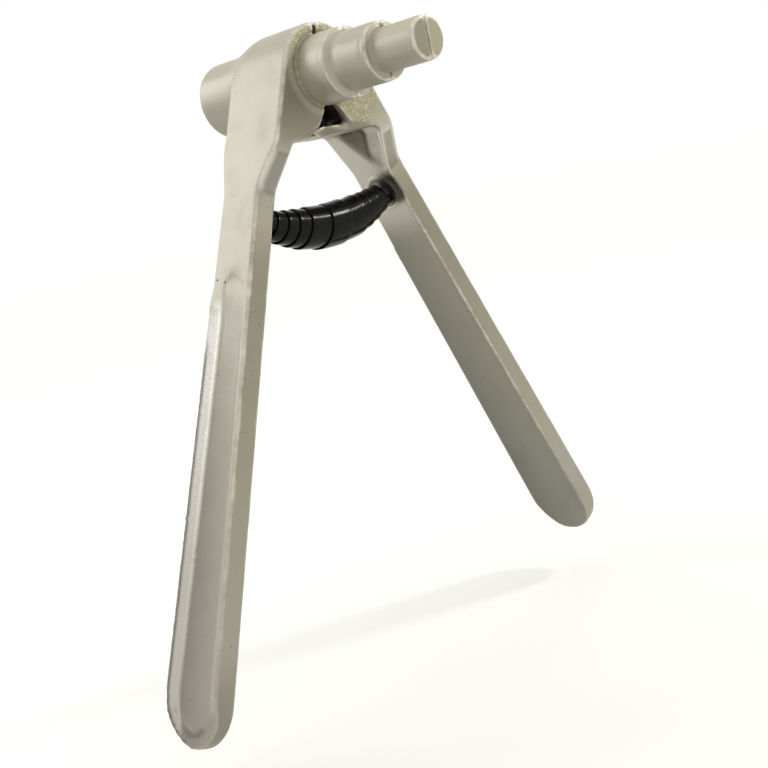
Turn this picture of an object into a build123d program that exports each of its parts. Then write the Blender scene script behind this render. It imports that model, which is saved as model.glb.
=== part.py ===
"""Hand expander for plastic pipe, plier type.

Two mirror-image castings turn on one hinge pin under a split, stepped mandrel. Squeezing the handles opens
the mandrel inside the end of a pipe, and a double volute spring between the handles closes it again.

Millimetres. +X points to the right handle, +Y to the rear, +Z up. The origin is on the mandrel axis, at the
front face of the head. The tool stands on its handle ends, with the mandrel closed.
"""
import os
from math import cos, pi, radians, sin, sqrt, tan

from build123d import *

TOLERANCE = 0.001

# Mandrel: three steps for three pipe bores, split upright along its axis
small_dia = 12.0
medium_dia = 16.4
large_dia = 20.0
small_length = 15.8
medium_length = 14.2
large_length = 11.0
mandrel_gap = 0.5
split_bevel = 0.7
step_edge_bevel = 0.5
land_length = 1.3
groove_width = 0.8
groove_depth = 0.3
root_groove_width = 1.1
root_groove_depth = 0.7

# Head and rear boss
head_radius = 14.3
crown_drop = 0.7
head_depth = 24.6
head_gap = 1.0
boss_dia = 22.2
boss_length = 20.8
boss_edge_round = 1.6
boss_flare = 0.8
crown_fall = 2.8
crown_fall_length = 8.6

# Handles, seen from the front: straight bars that touch the round head
handle_angle = 23.8
handle_thickness = 5.9
handle_end = 188.3
root_radius = 3.0
outer_edge_round = 0.9
inner_edge_bevel = 0.5

# Handles, seen from the side: a deep head, a narrow neck and a grip that widens to a round end
neck_start = 24.4
neck_end = 36.5
neck_front = 5.7
neck_depth = 15.8
neck_radius = 9.0
grip_front = 2.3
grip_depth = 24.5
grip_flare = 2.0
shoulder_start = 64.0
shoulder_length = 7.0

# Outer face of each grip: a shallow panel, a bevel behind it and a slope at the end
panel_start = 60.0
panel_rise = 3.0
panel_drop = 0.5
panel_wall = 0.7
panel_lip = 2.0
ridge_inset = 5.4
bevel_depth = 1.0
end_inset = 5.6
end_wall_angle = 30.0
tip_length = 13.0
tip_angle = 9.2

# Cored pocket at the root of each handle, in its inner face
pocket_depth = 3.9
pocket_front = 1.8
pocket_rear = 19.9
pocket_length = 15.1
pocket_tip = 7.3
pocket_side_length = 11.4
pocket_side = 11.5
pocket_draft = 0.5
pocket_floor_rear = 13.2
pocket_floor_length = 3.0

# Hinge under the mandrel
hinge_drop = 13.3
knuckle_radius = 4.4
knuckle_clearance = 0.6
knuckle_gap = 0.4
pin_dia = 5.0
pin_clearance = 0.05
pin_chamfer = 0.5
pin_recess = 0.3
plate_thickness = 2.6
front_knuckle_start = 8.0
front_knuckle_length = 4.6
middle_knuckle_length = 5.6
rear_knuckle_length = 4.0
relief_apex_drop = 6.9
relief_half_angle = 36.7
lip_thickness = 2.5
chin_rise = 4.5
chin_half_width = 15.7
chin_depth = 7.0

# Spring seats on the inner faces of the handles
seat_distance = 44.5
seat_depth = 13.0
seat_ring_radius = 5.8
seat_ring_wall = 1.1
seat_ring_height = 0.9
nub_radius = 1.9
nub_height = 2.6

# Double volute spring of flat strip
strip_width = 7.0
strip_thickness = 0.3
spring_turns = 5
spring_phase = 0.42
spring_radius = 6.45
turn_step = 0.76
strip_gap = 0.48
seat_clearance = 0.3

# Worked out from the sizes above
lean = radians(handle_angle)
large_front = -large_length
medium_front = large_front - medium_length
small_front = medium_front - small_length
boss_rear = head_depth + boss_length
underside = -hinge_drop - knuckle_radius
front_knuckle_end = front_knuckle_start + front_knuckle_length
middle_knuckle_start = front_knuckle_end + knuckle_gap
middle_knuckle_end = middle_knuckle_start + middle_knuckle_length
rear_knuckle_start = middle_knuckle_end + knuckle_gap
hinge_rear = rear_knuckle_start + rear_knuckle_length
core_rear = head_depth + boss_flare
outer_offset = head_radius - crown_drop * sin(lean)
inner_offset = outer_offset - handle_thickness
root_distance = (inner_offset * sin(lean) - underside) / cos(lean)
neck_rear = neck_front + neck_depth
grip_rear = grip_front + grip_depth
grip_end_radius = grip_depth / 2
grip_end_centre = handle_end - grip_end_radius
shoulder_end = shoulder_start + shoulder_length
front_taper = (grip_front - neck_front) / (grip_end_centre - neck_end)
rear_taper = (grip_rear - grip_flare - neck_rear) / (grip_end_centre - neck_end)
seat_offset = inner_offset * cos(lean) + seat_distance * sin(lean)
bow_radius = seat_offset / sin(lean)
bow_height = inner_offset * sin(lean) - seat_distance * cos(lean) + bow_radius * cos(lean)
spring_reach = bow_radius * lean - seat_clearance - strip_width / 2
wide_pitch = strip_width + strip_gap
narrow_pitch = (spring_reach - wide_pitch) / (spring_turns - 1)

# The outer face of the left handle: x runs down the handle from the mandrel axis, y to the rear, z inwards
grip_plane = Plane(
    origin=(-outer_offset * cos(lean), 0, outer_offset * sin(lean)),
    x_dir=(-sin(lean), 0, -cos(lean)),
    z_dir=(cos(lean), 0, -sin(lean)),
)
inner_plane = grip_plane.offset(handle_thickness)


def across(depth):
    """The plane square to the mandrel axis, this far behind the front face of the head."""
    return Plane.XZ.offset(-depth)


def station(distance):
    """The plane square to the left handle, this far down: x runs to the rear, y inwards."""
    return Plane(
        origin=grip_plane.from_local_coords(Vector(distance, 0, 0)),
        x_dir=(0, 1, 0),
        z_dir=grip_plane.x_dir,
    )


def front_view(distance, inwards):
    """A point on the left handle in the front view, from its distance down the handle and its depth."""
    point = grip_plane.from_local_coords(Vector(distance, 0, inwards))
    return (point.X, point.Z)


def front_line(distance):
    """Front edge of the handle, this far down."""
    return neck_front + front_taper * (distance - neck_end)


def rear_line(distance):
    """Rear edge of the inner face of the handle, this far down."""
    return neck_rear + rear_taper * (distance - neck_end)


def outline(plane, points):
    """A closed polygon on a plane, as a sketch."""
    with BuildSketch(plane) as polygon:
        with BuildLine():
            Polyline(*points, close=True)
        make_face()
    return polygon.sketch


def flare_waste():
    """What the slope behind the left grip takes off, between its widest line and its inner face."""
    slope = grip_flare / (handle_thickness - bevel_depth)
    high = 2 * handle_thickness * slope
    start = grip_flare / 10
    rim = inner_edge_bevel * slope
    drop = handle_thickness + inner_edge_bevel
    levels = (
        (-handle_thickness, high, high),
        (handle_thickness - inner_edge_bevel, start, rim),
        (2 * handle_thickness, start - drop, rim - drop),
    )
    sections = []
    for depth, first, then in levels:
        points = (
            (shoulder_start, rear_line(shoulder_start) + first),
            (shoulder_end, rear_line(shoulder_end) + then),
            (2 * handle_end, rear_line(2 * handle_end) + then),
            (2 * handle_end, 3 * grip_depth),
            (shoulder_start, 3 * grip_depth),
        )
        sections.append(outline(grip_plane.offset(depth), points))
    with BuildPart() as waste:
        loft(sections=sections, ruled=True)
    return waste.part


def bevel_waste():
    """What the rear bevel takes off the outer face of the left grip. It runs out at the shoulder."""
    slope = bevel_depth / (ridge_inset + grip_flare)
    inner = slope * ridge_inset
    outer = slope * (ridge_inset + 2 * grip_flare)
    sections = []
    for distance, lift in ((shoulder_start, outer), (shoulder_end, 0), (2 * handle_end, 0)):
        near = rear_line(distance) - 2 * ridge_inset
        far = rear_line(distance) + 2 * grip_flare
        points = (
            (near, -inner - lift),
            (far, outer - lift),
            (far, -handle_thickness),
            (near, -handle_thickness),
        )
        sections.append(outline(station(distance), points))
    with BuildPart() as waste:
        loft(sections=sections, ruled=True)
    return waste.part


def panel_waste():
    """The shallow panel in the outer face of the left grip: it starts like a roof and is open at its end."""
    eave = panel_start + panel_rise
    sections = []
    for depth, inset in ((panel_drop, panel_wall), (-panel_drop, -panel_wall)):
        lip = panel_lip + inset
        ridge = -ridge_inset - inset
        points = (
            (panel_start + inset, (front_line(eave) + rear_line(eave)) / 2),
            (eave + inset, rear_line(eave) + ridge),
            (2 * handle_end, rear_line(2 * handle_end) + ridge),
            (2 * handle_end, front_line(2 * handle_end) + lip),
            (eave + inset, front_line(eave) + lip),
        )
        sections.append(outline(grip_plane.offset(depth), points))
    with BuildPart() as waste:
        loft(sections=sections, ruled=True)
    return waste.part


def tip_waste():
    """What the slope at the end of the left grip takes off round the rounded end of the panel."""
    radius = (grip_depth - grip_flare - ridge_inset - panel_lip) / 2
    middle = grip_front + panel_lip + radius
    centre = handle_end - end_inset - radius
    run = 1 / tan(radians(end_wall_angle))
    fall = 2 * tip_length * tan(radians(tip_angle))
    side = Plane(origin=grip_plane.origin, x_dir=grip_plane.x_dir, z_dir=(0, -1, 0))
    foot = grip_plane.from_local_coords(Vector(centre, middle, handle_thickness))
    with BuildPart() as waste:
        with BuildSketch(side):
            with BuildLine():
                Polyline(
                    (handle_end - 3 * tip_length, -fall),
                    (handle_end + tip_length, fall),
                    (handle_end + tip_length, -2 * fall),
                    (handle_end - 3 * tip_length, -2 * fall),
                    close=True,
                )
            make_face()
        extrude(amount=2 * grip_depth, both=True)
        with Locations(Plane(origin=foot, x_dir=grip_plane.x_dir, z_dir=-grip_plane.z_dir)):
            Cone(
                radius + (handle_thickness - panel_drop) * run,
                radius - 2 * panel_drop * run,
                handle_thickness + panel_drop,
                align=(Align.CENTER, Align.CENTER, Align.MIN),
                mode=Mode.SUBTRACT,
            )
    return waste.part


def crown_waste():
    """What the fall of the crown takes off the head in front of the boss."""
    bow = (crown_fall_length**2 + crown_fall**2) / (2 * crown_fall)
    top = head_radius - crown_drop
    with BuildPart() as waste:
        with BuildSketch(Plane.YZ):
            with Locations((core_rear, top - crown_fall)):
                Rectangle(crown_fall_length + boss_flare, 2 * crown_fall, align=(Align.MAX, Align.MIN))
            with Locations((head_depth - crown_fall_length, top - bow)):
                Circle(bow, mode=Mode.SUBTRACT)
        extrude(amount=head_radius, both=True)
    return waste.part


def pocket_outline(share):
    """Outline of the pocket at this share of its depth below the inner face, as a sketch on its plane."""
    opening = (
        (root_distance, pocket_front),
        (root_distance + pocket_length, pocket_tip),
        (root_distance + pocket_side_length, pocket_side),
        (root_distance, pocket_rear),
    )
    floor = (
        (root_distance + pocket_draft, pocket_front + pocket_draft),
        (root_distance + pocket_floor_length, pocket_front + 2 * pocket_draft),
        (root_distance + pocket_floor_length, pocket_floor_rear - 2 * pocket_draft),
        (root_distance + pocket_draft, pocket_floor_rear),
    )
    corners = [(a + (c - a) * share, b + (d - b) * share) for (a, b), (c, d) in zip(opening, floor)]
    return outline(inner_plane.offset(-pocket_depth * share), corners)


def mandrel_half():
    """Left half of the stepped mandrel and of the rear boss."""
    steps = (
        (large_front, head_depth / 2, large_dia / 2),
        (medium_front, large_front, medium_dia / 2),
        (small_front, medium_front, small_dia / 2),
    )
    with BuildPart() as half:
        for front, back, radius in steps:
            with BuildSketch(across(back)):
                Circle(radius)
            extrude(amount=back - front)
            chamfer(half.edges().filter_by(GeomType.CIRCLE).group_by(Axis.Y)[0], step_edge_bevel)
        for front, back, radius in steps[:2]:
            with BuildSketch(across(front + land_length)):
                Circle(radius + groove_depth)
                Circle(radius - groove_depth, mode=Mode.SUBTRACT)
            extrude(amount=-groove_width, mode=Mode.SUBTRACT)
        # The boss stands on the middle of the round head, a little below the mandrel axis
        with BuildSketch(across(boss_rear)):
            with Locations((0, -crown_drop)):
                Circle(boss_dia / 2)
        extrude(amount=boss_rear - head_depth / 2)
        fillet(half.edges().filter_by(GeomType.CIRCLE).group_by(Axis.Y)[-1], boss_edge_round)
        with BuildSketch(Plane.YZ):
            with Locations((head_depth, boss_dia / 2 - crown_drop)):
                Rectangle(boss_flare, boss_flare, align=(Align.MIN, Align.MIN))
            with Locations((head_depth + boss_flare, boss_dia / 2 + boss_flare - crown_drop)):
                Circle(boss_flare, mode=Mode.SUBTRACT)
        revolve(axis=Axis((0, 0, -crown_drop), (0, 1, 0)))
        # Bevels along the split, above and below
        splits = [(front, back, radius, 0) for front, back, radius in steps]
        splits.append((head_depth / 2, boss_rear, boss_dia / 2, crown_drop))
        for front, back, radius, drop in splits:
            with BuildSketch(across(back)):
                with Locations((0, radius - drop), (0, -radius - drop)):
                    Rectangle(split_bevel * sqrt(2), split_bevel * sqrt(2), rotation=45)
            extrude(amount=back - front, mode=Mode.SUBTRACT)
        split(bisect_by=Plane.YZ.offset(-mandrel_gap / 2), keep=Keep.BOTTOM)
    return half.part


def is_outer(point):
    """Whether a point lies on the outer skin of the left casting: the outer face or the round of the head."""
    place = grip_plane.to_local_coords(point)
    if place.X < crown_drop * cos(lean):
        return abs(sqrt(point.X**2 + (point.Z + crown_drop) ** 2) - head_radius) < TOLERANCE
    return abs(place.Z) < TOLERANCE


def is_inner(point):
    """Whether a point lies on the inner face of the left casting or on the underside of the head."""
    place = grip_plane.to_local_coords(point)
    return abs(place.Z - handle_thickness) < TOLERANCE or abs(point.Z - underside) < TOLERANCE


def handle_casting():
    """The left casting, still without its hinge: handle, half of the head, of the mandrel and of the boss."""
    crown_top = sqrt(head_radius**2 - (head_gap / 2) ** 2) - crown_drop
    crown_foot = front_view(crown_drop * cos(lean), 0)
    root = front_view(root_distance, handle_thickness)
    wastes = [flare_waste(), bevel_waste(), panel_waste(), tip_waste()]
    crown = crown_waste()
    mandrel = mandrel_half()
    with BuildPart() as casting:
        # Front view: round head, straight handle and the arch between the handle and the split
        with BuildSketch(across(2 * head_depth)) as front:
            with BuildLine():
                Line(crown_foot, front_view(handle_end + 1, 0))
                Line(front_view(handle_end + 1, 0), front_view(handle_end + 1, handle_thickness))
                Line(front_view(handle_end + 1, handle_thickness), root)
                Line(root, (-head_gap / 2, underside))
                Line((-head_gap / 2, underside), (-head_gap / 2, crown_top))
                RadiusArc((-head_gap / 2, crown_top), crown_foot, -head_radius)
            make_face()
            fillet(front.vertices().sort_by_distance((*root, 0))[0], root_radius)
        extrude(amount=3 * head_depth)
        # Side view: deep head, narrow neck, widening grip with a round end
        with BuildSketch(grip_plane) as side:
            with BuildLine():
                Polyline(
                    (grip_end_centre, grip_front),
                    (neck_end, neck_front),
                    (neck_start, 0),
                    (-2 * head_radius, 0),
                    (-2 * head_radius, head_depth),
                    (neck_start, head_depth),
                    (neck_end, neck_rear),
                    (shoulder_start, rear_line(shoulder_start)),
                    (shoulder_end, rear_line(shoulder_end) + grip_flare),
                    (grip_end_centre, grip_rear),
                )
                CenterArc((grip_end_centre, grip_front + grip_end_radius), grip_end_radius, -90, 180)
            make_face()
            fillet([v for v in side.vertices() if neck_start <= v.X <= shoulder_end], neck_radius)
        extrude(amount=2 * handle_end, both=True, mode=Mode.INTERSECT)
        rims = casting.edges().filter_by(Axis.Y, reverse=True)
        fillet([rim for rim in rims if is_outer(rim @ 0.5)], outer_edge_round)
        rims = casting.edges().filter_by(Axis.Y, reverse=True)
        chamfer([rim for rim in rims if is_inner(rim @ 0.5)], inner_edge_bevel)
        add(wastes, mode=Mode.SUBTRACT)
        # Inner face: a cored pocket under the head, and the seat of the spring
        loft(sections=[pocket_outline(-0.5), pocket_outline(1)], ruled=True, mode=Mode.SUBTRACT)
        with BuildSketch(inner_plane):
            with Locations((seat_distance, seat_depth)):
                Circle(seat_ring_radius)
                Circle(seat_ring_radius - seat_ring_wall, mode=Mode.SUBTRACT)
        extrude(amount=seat_ring_height)
        with BuildSketch(inner_plane):
            with Locations((seat_distance, seat_depth)):
                Circle(nub_radius)
        extrude(amount=nub_height)
        # A groove in the front of the head, round the root of the mandrel
        with BuildSketch(across(root_groove_depth)):
            Circle(large_dia / 2 + root_groove_width)
        extrude(amount=root_groove_depth, mode=Mode.SUBTRACT)
        add(mandrel)
        add(crown, mode=Mode.SUBTRACT)
    return casting.part


def hinge_core(spans):
    """The room that one casting leaves under the mandrel, over the spans where the other has its knuckles."""
    slope = tan(radians(relief_half_angle))
    bottom = underside - knuckle_radius
    half = (-bottom - relief_apex_drop) * slope
    with BuildPart() as core:
        for front, back in ((0, plate_thickness), *spans):
            with BuildSketch(across(back)):
                with BuildLine():
                    Polyline((0, -relief_apex_drop), (-half, bottom), (half, bottom), close=True)
                make_face()
                if front > 0:
                    with Locations((0, -hinge_drop)):
                        Circle(knuckle_radius + knuckle_clearance)
            extrude(amount=back - front)
    return core.part


def knuckle(start, end, side):
    """One hinge barrel about the pin, run into the casting on its side of the split."""
    with BuildPart() as barrel:
        with BuildSketch(across(end)):
            with Locations((0, -hinge_drop)):
                Circle(knuckle_radius)
                Rectangle(head_gap, knuckle_radius, align=(side, Align.MAX))
        extrude(amount=end - start)
    return barrel.part


def chin():
    """What the slope under the front of the head takes off."""
    with BuildPart() as slope:
        with BuildSketch(across(0)) as front:
            with BuildLine():
                Polyline(
                    (0, underside + chin_rise),
                    (-chin_half_width, underside),
                    (chin_half_width, underside),
                    close=True,
                )
            make_face()
        loft(sections=[front.sketch, Vertex(0, chin_depth, underside)], ruled=True)
    return slope.part


left_casting = handle_casting()
right_casting = mirror(left_casting, about=Plane.YZ)
left_core = hinge_core(
    (
        (plate_thickness, front_knuckle_start),
        (front_knuckle_end, rear_knuckle_start),
        (hinge_rear, core_rear),
    )
)
right_core = hinge_core(((plate_thickness, middle_knuckle_start), (middle_knuckle_end, core_rear)))
chin_waste = chin()
front_knuckle = knuckle(front_knuckle_start, front_knuckle_end, Align.MAX)
middle_knuckle = knuckle(middle_knuckle_start, middle_knuckle_end, Align.MIN)
rear_knuckle = knuckle(rear_knuckle_start, hinge_rear, Align.MAX)

with BuildPart() as left_handle:
    add(left_casting)
    add(left_core, mode=Mode.SUBTRACT)
    add([front_knuckle, rear_knuckle])
    with BuildSketch(across(hinge_rear)):
        with Locations((0, -hinge_drop)):
            Circle(pin_dia / 2)
    extrude(amount=hinge_rear - front_knuckle_start, mode=Mode.SUBTRACT)
    add(chin_waste, mode=Mode.SUBTRACT)
left_handle.part.label = "left_handle"

with BuildPart() as right_handle:
    add(right_casting)
    add(right_core, mode=Mode.SUBTRACT)
    add(middle_knuckle)
    # The lip that closes the hinge from below, in front of the pin
    with BuildSketch(across(front_knuckle_start - knuckle_gap)):
        with Locations((0, -hinge_drop)):
            Circle(knuckle_radius)
        with Locations((0, underside)):
            Rectangle(chin_half_width, knuckle_radius, align=(Align.MIN, Align.MIN))
        with Locations((0, underside + lip_thickness)):
            Rectangle(4 * chin_half_width, head_radius, align=(Align.CENTER, Align.MIN), mode=Mode.SUBTRACT)
    extrude(amount=front_knuckle_start - 2 * knuckle_gap - plate_thickness)
    with BuildSketch(across(middle_knuckle_end)):
        with Locations((0, -hinge_drop)):
            Circle(pin_dia / 2 + pin_clearance)
    extrude(amount=middle_knuckle_length, mode=Mode.SUBTRACT)
    add(chin_waste, mode=Mode.SUBTRACT)
right_handle.part.label = "right_handle"

with BuildPart() as hinge_pin:
    with BuildSketch(across(hinge_rear - pin_recess)):
        with Locations((0, -hinge_drop)):
            Circle(pin_dia / 2)
    extrude(amount=hinge_rear - front_knuckle_start - 2 * pin_recess)
    chamfer(hinge_pin.edges().filter_by(GeomType.CIRCLE), pin_chamfer)
hinge_pin.part.label = "hinge_pin"


def strip_point(turn, along, out):
    """A point on the strip: turns from the middle, distance across its width, distance out of its middle."""
    size = abs(turn)
    if size < 1:
        reach = wide_pitch * size
    else:
        reach = wide_pitch + narrow_pitch * (size - 1)
    if turn < 0:
        reach = -reach
    bow = (reach + along) / bow_radius
    radius = spring_radius - turn_step * size + out
    spin = 2 * pi * (turn + spring_phase)
    drop = bow_radius + radius * sin(spin)
    return Vector(drop * sin(bow), seat_depth + radius * cos(spin), bow_height - drop * cos(bow))


def strip_curve(turn, along, out):
    """A quarter turn of one edge of the strip, as two arcs that run smoothly into each other."""
    nudge = 0.0001
    first = strip_point(turn, along, out)
    last = strip_point(turn + 0.25, along, out)
    leave = (strip_point(turn + nudge, along, out) - first).normalized()
    arrive = (last - strip_point(turn + 0.25 - nudge, along, out)).normalized()
    chord = last - first
    both = chord.dot(leave + arrive)
    spread = 2 * (1 - leave.dot(arrive))
    reach = (sqrt(both**2 + spread * chord.dot(chord)) - both) / spread
    middle = (first + leave * reach + last - arrive * reach) / 2
    return (
        Edge.make_tangent_arc(first, leave, middle),
        Edge.make_tangent_arc(last, -arrive, middle),
    )


def spring_strip():
    """The double volute spring: one strip, wound from its small end at one seat to that at the other."""
    corners = [
        (sign * strip_width / 2, out * strip_thickness / 2)
        for sign, out in ((-1, -1), (1, -1), (1, 1), (-1, 1))
    ]
    faces = []
    for quarter in range(-4 * spring_turns, 4 * spring_turns):
        curves = [strip_curve(quarter / 4, *corner) for corner in corners]
        for near, far in zip(curves, curves[1:] + curves[:1]):
            faces += [Face.make_surface_from_curves(a, b) for a, b in zip(near, far)]
    for turn in (-spring_turns, spring_turns):
        ends = [strip_point(turn, *corner) for corner in corners]
        faces.append(Face(Wire.make_polygon(ends, close=True)))
    return Solid(Shell(faces))


def spring_gap():
    """Least distance between points on neighbouring turns of the strip."""
    least = strip_width
    across_strip = [strip_width * step / 28 for step in range(-14, 15)]
    for step in range(-16 * spring_turns, 16 * spring_turns - 15):
        turn = step / 16
        inner, outer = turn, turn + 1
        if abs(inner) < abs(outer):
            inner, outer = outer, inner
        for along in across_strip:
            point = strip_point(outer, along, -strip_thickness / 2)
            for other in across_strip:
                least = min(least, (point - strip_point(inner, other, strip_thickness / 2)).length)
    return least


strip = spring_strip()
with BuildPart() as return_spring:
    add(strip)
return_spring.part.label = "return_spring"
print("least gap between turns of the spring:", round(spring_gap(), 3))

os.makedirs("parts", exist_ok=True)
export_step(left_handle.part, "parts/left_handle.step")
export_step(right_handle.part, "parts/right_handle.step")
export_step(hinge_pin.part, "parts/hinge_pin.step")
export_step(return_spring.part, "parts/return_spring.step")
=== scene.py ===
# %% [markdown]
# # A plier-type pipe expander
#
# Two cast handles open a split, stepped mandrel inside the end of a plastic pipe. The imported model
# is the fixed frame: every piece that is made here sits where that model says, in metres. The
# castings get a fine, even skin with soft edges, the spring is wound again from its rule, and each
# surface gets its own finish.

import math

import bmesh
import bpy
import numpy as np
from mathutils import Matrix, Vector, noise


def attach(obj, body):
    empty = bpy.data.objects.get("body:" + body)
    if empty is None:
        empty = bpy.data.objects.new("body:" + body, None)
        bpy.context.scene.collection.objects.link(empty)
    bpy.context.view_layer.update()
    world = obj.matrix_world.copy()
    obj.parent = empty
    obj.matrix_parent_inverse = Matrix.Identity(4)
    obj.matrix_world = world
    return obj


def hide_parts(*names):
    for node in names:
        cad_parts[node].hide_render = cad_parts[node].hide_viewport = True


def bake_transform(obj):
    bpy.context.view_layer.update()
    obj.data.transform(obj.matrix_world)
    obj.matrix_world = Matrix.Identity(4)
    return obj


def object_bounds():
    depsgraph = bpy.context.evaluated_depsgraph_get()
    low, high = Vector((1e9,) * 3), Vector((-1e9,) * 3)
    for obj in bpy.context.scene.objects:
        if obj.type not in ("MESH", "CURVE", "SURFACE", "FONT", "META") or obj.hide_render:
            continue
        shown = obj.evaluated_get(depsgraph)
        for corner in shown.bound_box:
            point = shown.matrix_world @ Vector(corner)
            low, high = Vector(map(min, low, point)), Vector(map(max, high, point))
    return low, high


MM = 0.001
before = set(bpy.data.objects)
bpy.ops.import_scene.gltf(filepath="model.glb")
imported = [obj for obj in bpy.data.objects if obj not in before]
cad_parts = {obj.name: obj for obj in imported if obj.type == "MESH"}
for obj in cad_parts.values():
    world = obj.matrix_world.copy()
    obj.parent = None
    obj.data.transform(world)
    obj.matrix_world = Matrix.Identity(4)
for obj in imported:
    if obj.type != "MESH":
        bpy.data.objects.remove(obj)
cad_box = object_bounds()
scene = bpy.context.scene
print("nodes:", sorted(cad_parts))

# %% [markdown]
# ## The camera
#
# The photograph was taken from the left, a little above the middle of the tool, with the camera
# tilted. A camera could be placed by eye. This one was fitted to points on the mandrel and the
# handles instead, so that the tool fills the frame in the same way.

# %% Camera
CAMERA_TARGET = Vector((-10.236, -6.999, -88.983)) * MM
CAMERA_DISTANCE = 349.456 * MM
CAMERA_AZIMUTH = math.radians(-42.800)
CAMERA_ELEVATION = math.radians(10.027)
CAMERA_ROLL = math.radians(-12.544)
FOCAL_PIXELS = 1233.02
IMAGE_PIXELS = 768
SENSOR_WIDTH = 36.0
NEAREST_SEEN = 0.01

back = Vector(
    (
        math.sin(CAMERA_AZIMUTH) * math.cos(CAMERA_ELEVATION),
        -math.cos(CAMERA_AZIMUTH) * math.cos(CAMERA_ELEVATION),
        math.sin(CAMERA_ELEVATION),
    )
)
level = Vector((math.cos(CAMERA_AZIMUTH), math.sin(CAMERA_AZIMUTH), 0.0))
rise = back.cross(level)
right = math.cos(CAMERA_ROLL) * level + math.sin(CAMERA_ROLL) * rise
up = back.cross(right)

camera_data = bpy.data.cameras.new("camera")
camera_data.sensor_width = SENSOR_WIDTH
camera_data.lens = FOCAL_PIXELS / IMAGE_PIXELS * SENSOR_WIDTH
camera_data.clip_start = NEAREST_SEEN
camera = bpy.data.objects.new("camera", camera_data)
scene.collection.objects.link(camera)
turn = Matrix((right, up, back)).transposed()
camera.matrix_world = Matrix.Translation(CAMERA_TARGET + CAMERA_DISTANCE * back) @ turn.to_4x4()
scene.camera = camera
print("lens:", round(camera_data.lens, 2), "mm")

# %% [markdown]
# ## Helpers for node trees
#
# Every finish is a tree of nodes. A tree can be joined by hand in the shader editor, but a script
# can be run again and read. Each helper adds a node, sets its values and joins its inputs in one
# line, so that a tree reads from top to bottom.


# %% Node helpers
def add_node(tree, kind, values=(), **settings):
    """Add a node, set its properties, and give its inputs a value or a link each."""
    node = tree.nodes.new(kind)
    for name, value in settings.items():
        setattr(node, name, value)
    for name, value in dict(values).items():
        if isinstance(value, bpy.types.NodeSocket):
            tree.links.new(value, node.inputs[name])
        else:
            node.inputs[name].default_value = value
    return node


def maths(tree, operation, *values):
    """One step of arithmetic on numbers and sockets."""
    return add_node(tree, "ShaderNodeMath", enumerate(values), operation=operation).outputs[0]


def blend_colours(tree, share, first, second):
    """Mix two colours, each a socket or a value, by a share."""
    inputs = {0: share, 6: first, 7: second}
    return add_node(tree, "ShaderNodeMix", inputs, data_type="RGBA").outputs[2]


def stretch(tree, value, low, high):
    """A value stretched so that low becomes nought and high becomes one."""
    inputs = {"Value": value, "From Min": low, "From Max": high}
    node = add_node(tree, "ShaderNodeMapRange", inputs, interpolation_type="SMOOTHSTEP")
    return node.outputs["Result"]


def object_place(tree):
    """The place of a point in its own object."""
    return add_node(tree, "ShaderNodeTexCoord").outputs["Object"]


def attribute(tree, name):
    """One of the numbers stored in the skin."""
    return add_node(tree, "ShaderNodeAttribute", attribute_name=name).outputs["Fac"]


def new_material(name):
    """A new material, with its tree and its shader."""
    material = bpy.data.materials.new(name)
    material.use_nodes = True
    return material, material.node_tree, material.node_tree.nodes["Principled BSDF"]


print("helpers for Blender", bpy.app.version_string)

# %% [markdown]
# ## World, floor and lamps
#
# The photograph has a pure white ground. A room could be lit until it burns out, but that would burn
# out the pale castings too. So the room stays dim for the light that falls on the tool, and only looks
# white: to the camera, and in what metal and gloss reflect.

# %% World
ROOM_COLOUR = (1.0, 0.985, 0.90, 1.0)
ROOM_STRENGTH = 0.53
WHITE = (1.0, 1.0, 1.0, 1.0)

scene.view_settings.view_transform = "Standard"


def seen_share(tree):
    """One for rays of the camera, of reflections and through glass, and nought for the light itself."""
    rays = add_node(tree, "ShaderNodeLightPath").outputs
    seen = maths(tree, "MAXIMUM", rays["Is Camera Ray"], rays["Is Glossy Ray"])
    return maths(tree, "MAXIMUM", seen, rays["Is Transmission Ray"])


world = bpy.data.worlds.new("room")
scene.world = world
world.use_nodes = True
tree = world.node_tree
room = tree.nodes["Background"]
room.inputs["Color"].default_value = ROOM_COLOUR
room.inputs["Strength"].default_value = ROOM_STRENGTH
white = add_node(tree, "ShaderNodeBackground", {"Color": WHITE})
shaders = {0: seen_share(tree), 1: room.outputs[0], 2: white.outputs[0]}
choice = add_node(tree, "ShaderNodeMixShader", shaders)
tree.links.new(choice.outputs[0], tree.nodes["World Output"].inputs["Surface"])
print("room strength:", ROOM_STRENGTH)

# %% [markdown]
# The floor looks white in the same way. A white sheet would throw too much light up at the tool, and a
# plane that only glows would show no shadow. So it is a dull grey plane with a glow on top, which only
# those same rays see, and the tool's shadow stays on it. It lies a little under the handles, because
# they reach lower when they're squeezed.

# %% Floor
SQUEEZED_REACH = 13.5 * MM
FLOOR_HEIGHT = cad_box[0][2] - SQUEEZED_REACH
FLOOR_SIZE = 6.0
FLOOR_GREY = (0.42, 0.42, 0.41, 1.0)
FLOOR_PALE = (0.90, 0.90, 0.90, 1.0)
FLOOR_ROUGHNESS = 0.9
GLOW_NEAR = 0.31
GLOW_FAR = 0.54
GLOW_RADIUS = 0.7


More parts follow.
